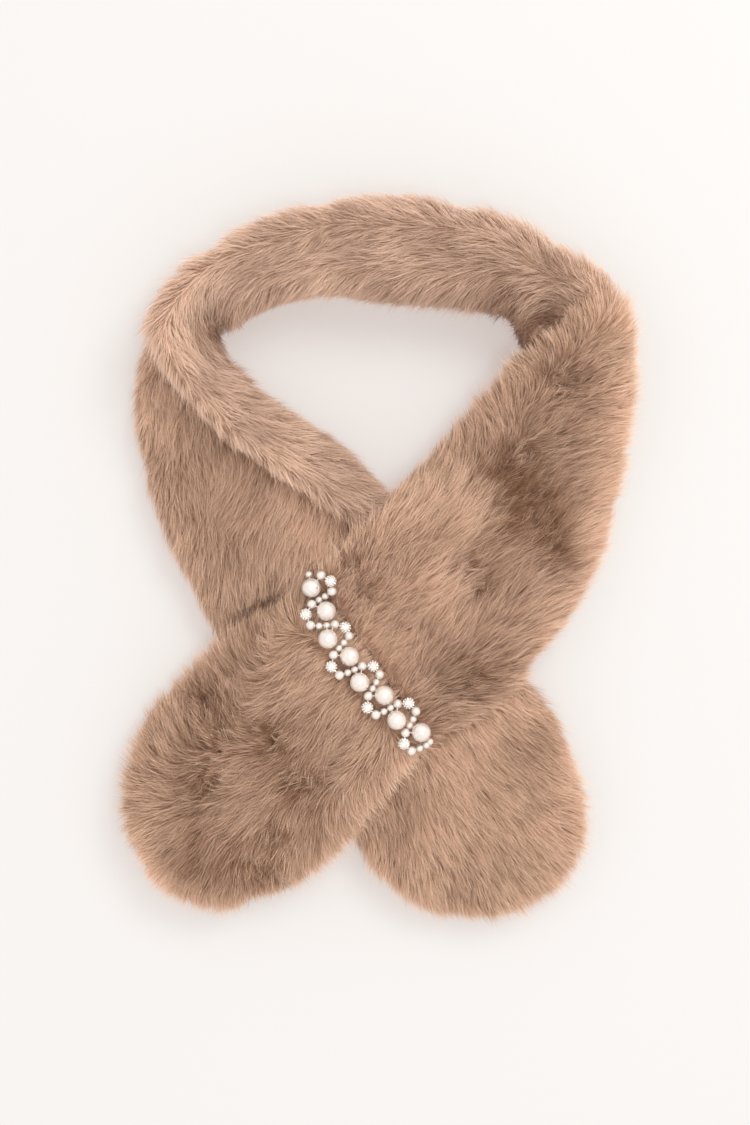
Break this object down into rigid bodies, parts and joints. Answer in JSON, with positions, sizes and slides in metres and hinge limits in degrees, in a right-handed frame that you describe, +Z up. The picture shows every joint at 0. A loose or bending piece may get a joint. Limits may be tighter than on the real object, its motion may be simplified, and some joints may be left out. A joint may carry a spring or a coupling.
{
  "type": "fur collar wrap",
  "caption": "Pull-through collar wrap of double-faced plush fur, laid flat and crossed, its upper end drawn through a sewn loop of strung pearls.",
  "frame": {"origin": "middle of the underside of the laid wrap, on the surface it lies on", "axes": "+Y to the back of the neck, +X to the wearer's left as laid, +Z up from the surface"},
  "size_m": [0.2632, 0.3726, 0.061],
  "materials": {
    "fur_outer": "soft plush pile, satin sheen",
    "fur_inner": "soft plush pile, satin sheen",
    "pearl": "pearl lustre",
    "crystal": "faceted, set close together on a ball"
  },
  "bodies": {
    "root": {"left_front": "fur_outer", "under_tail": "fur_outer", "back_neck": "fur_inner", "right_front": "fur_outer", "upper_tail": "fur_outer", "pearl_loop": "pearl"}
  },
  "joints": []
}
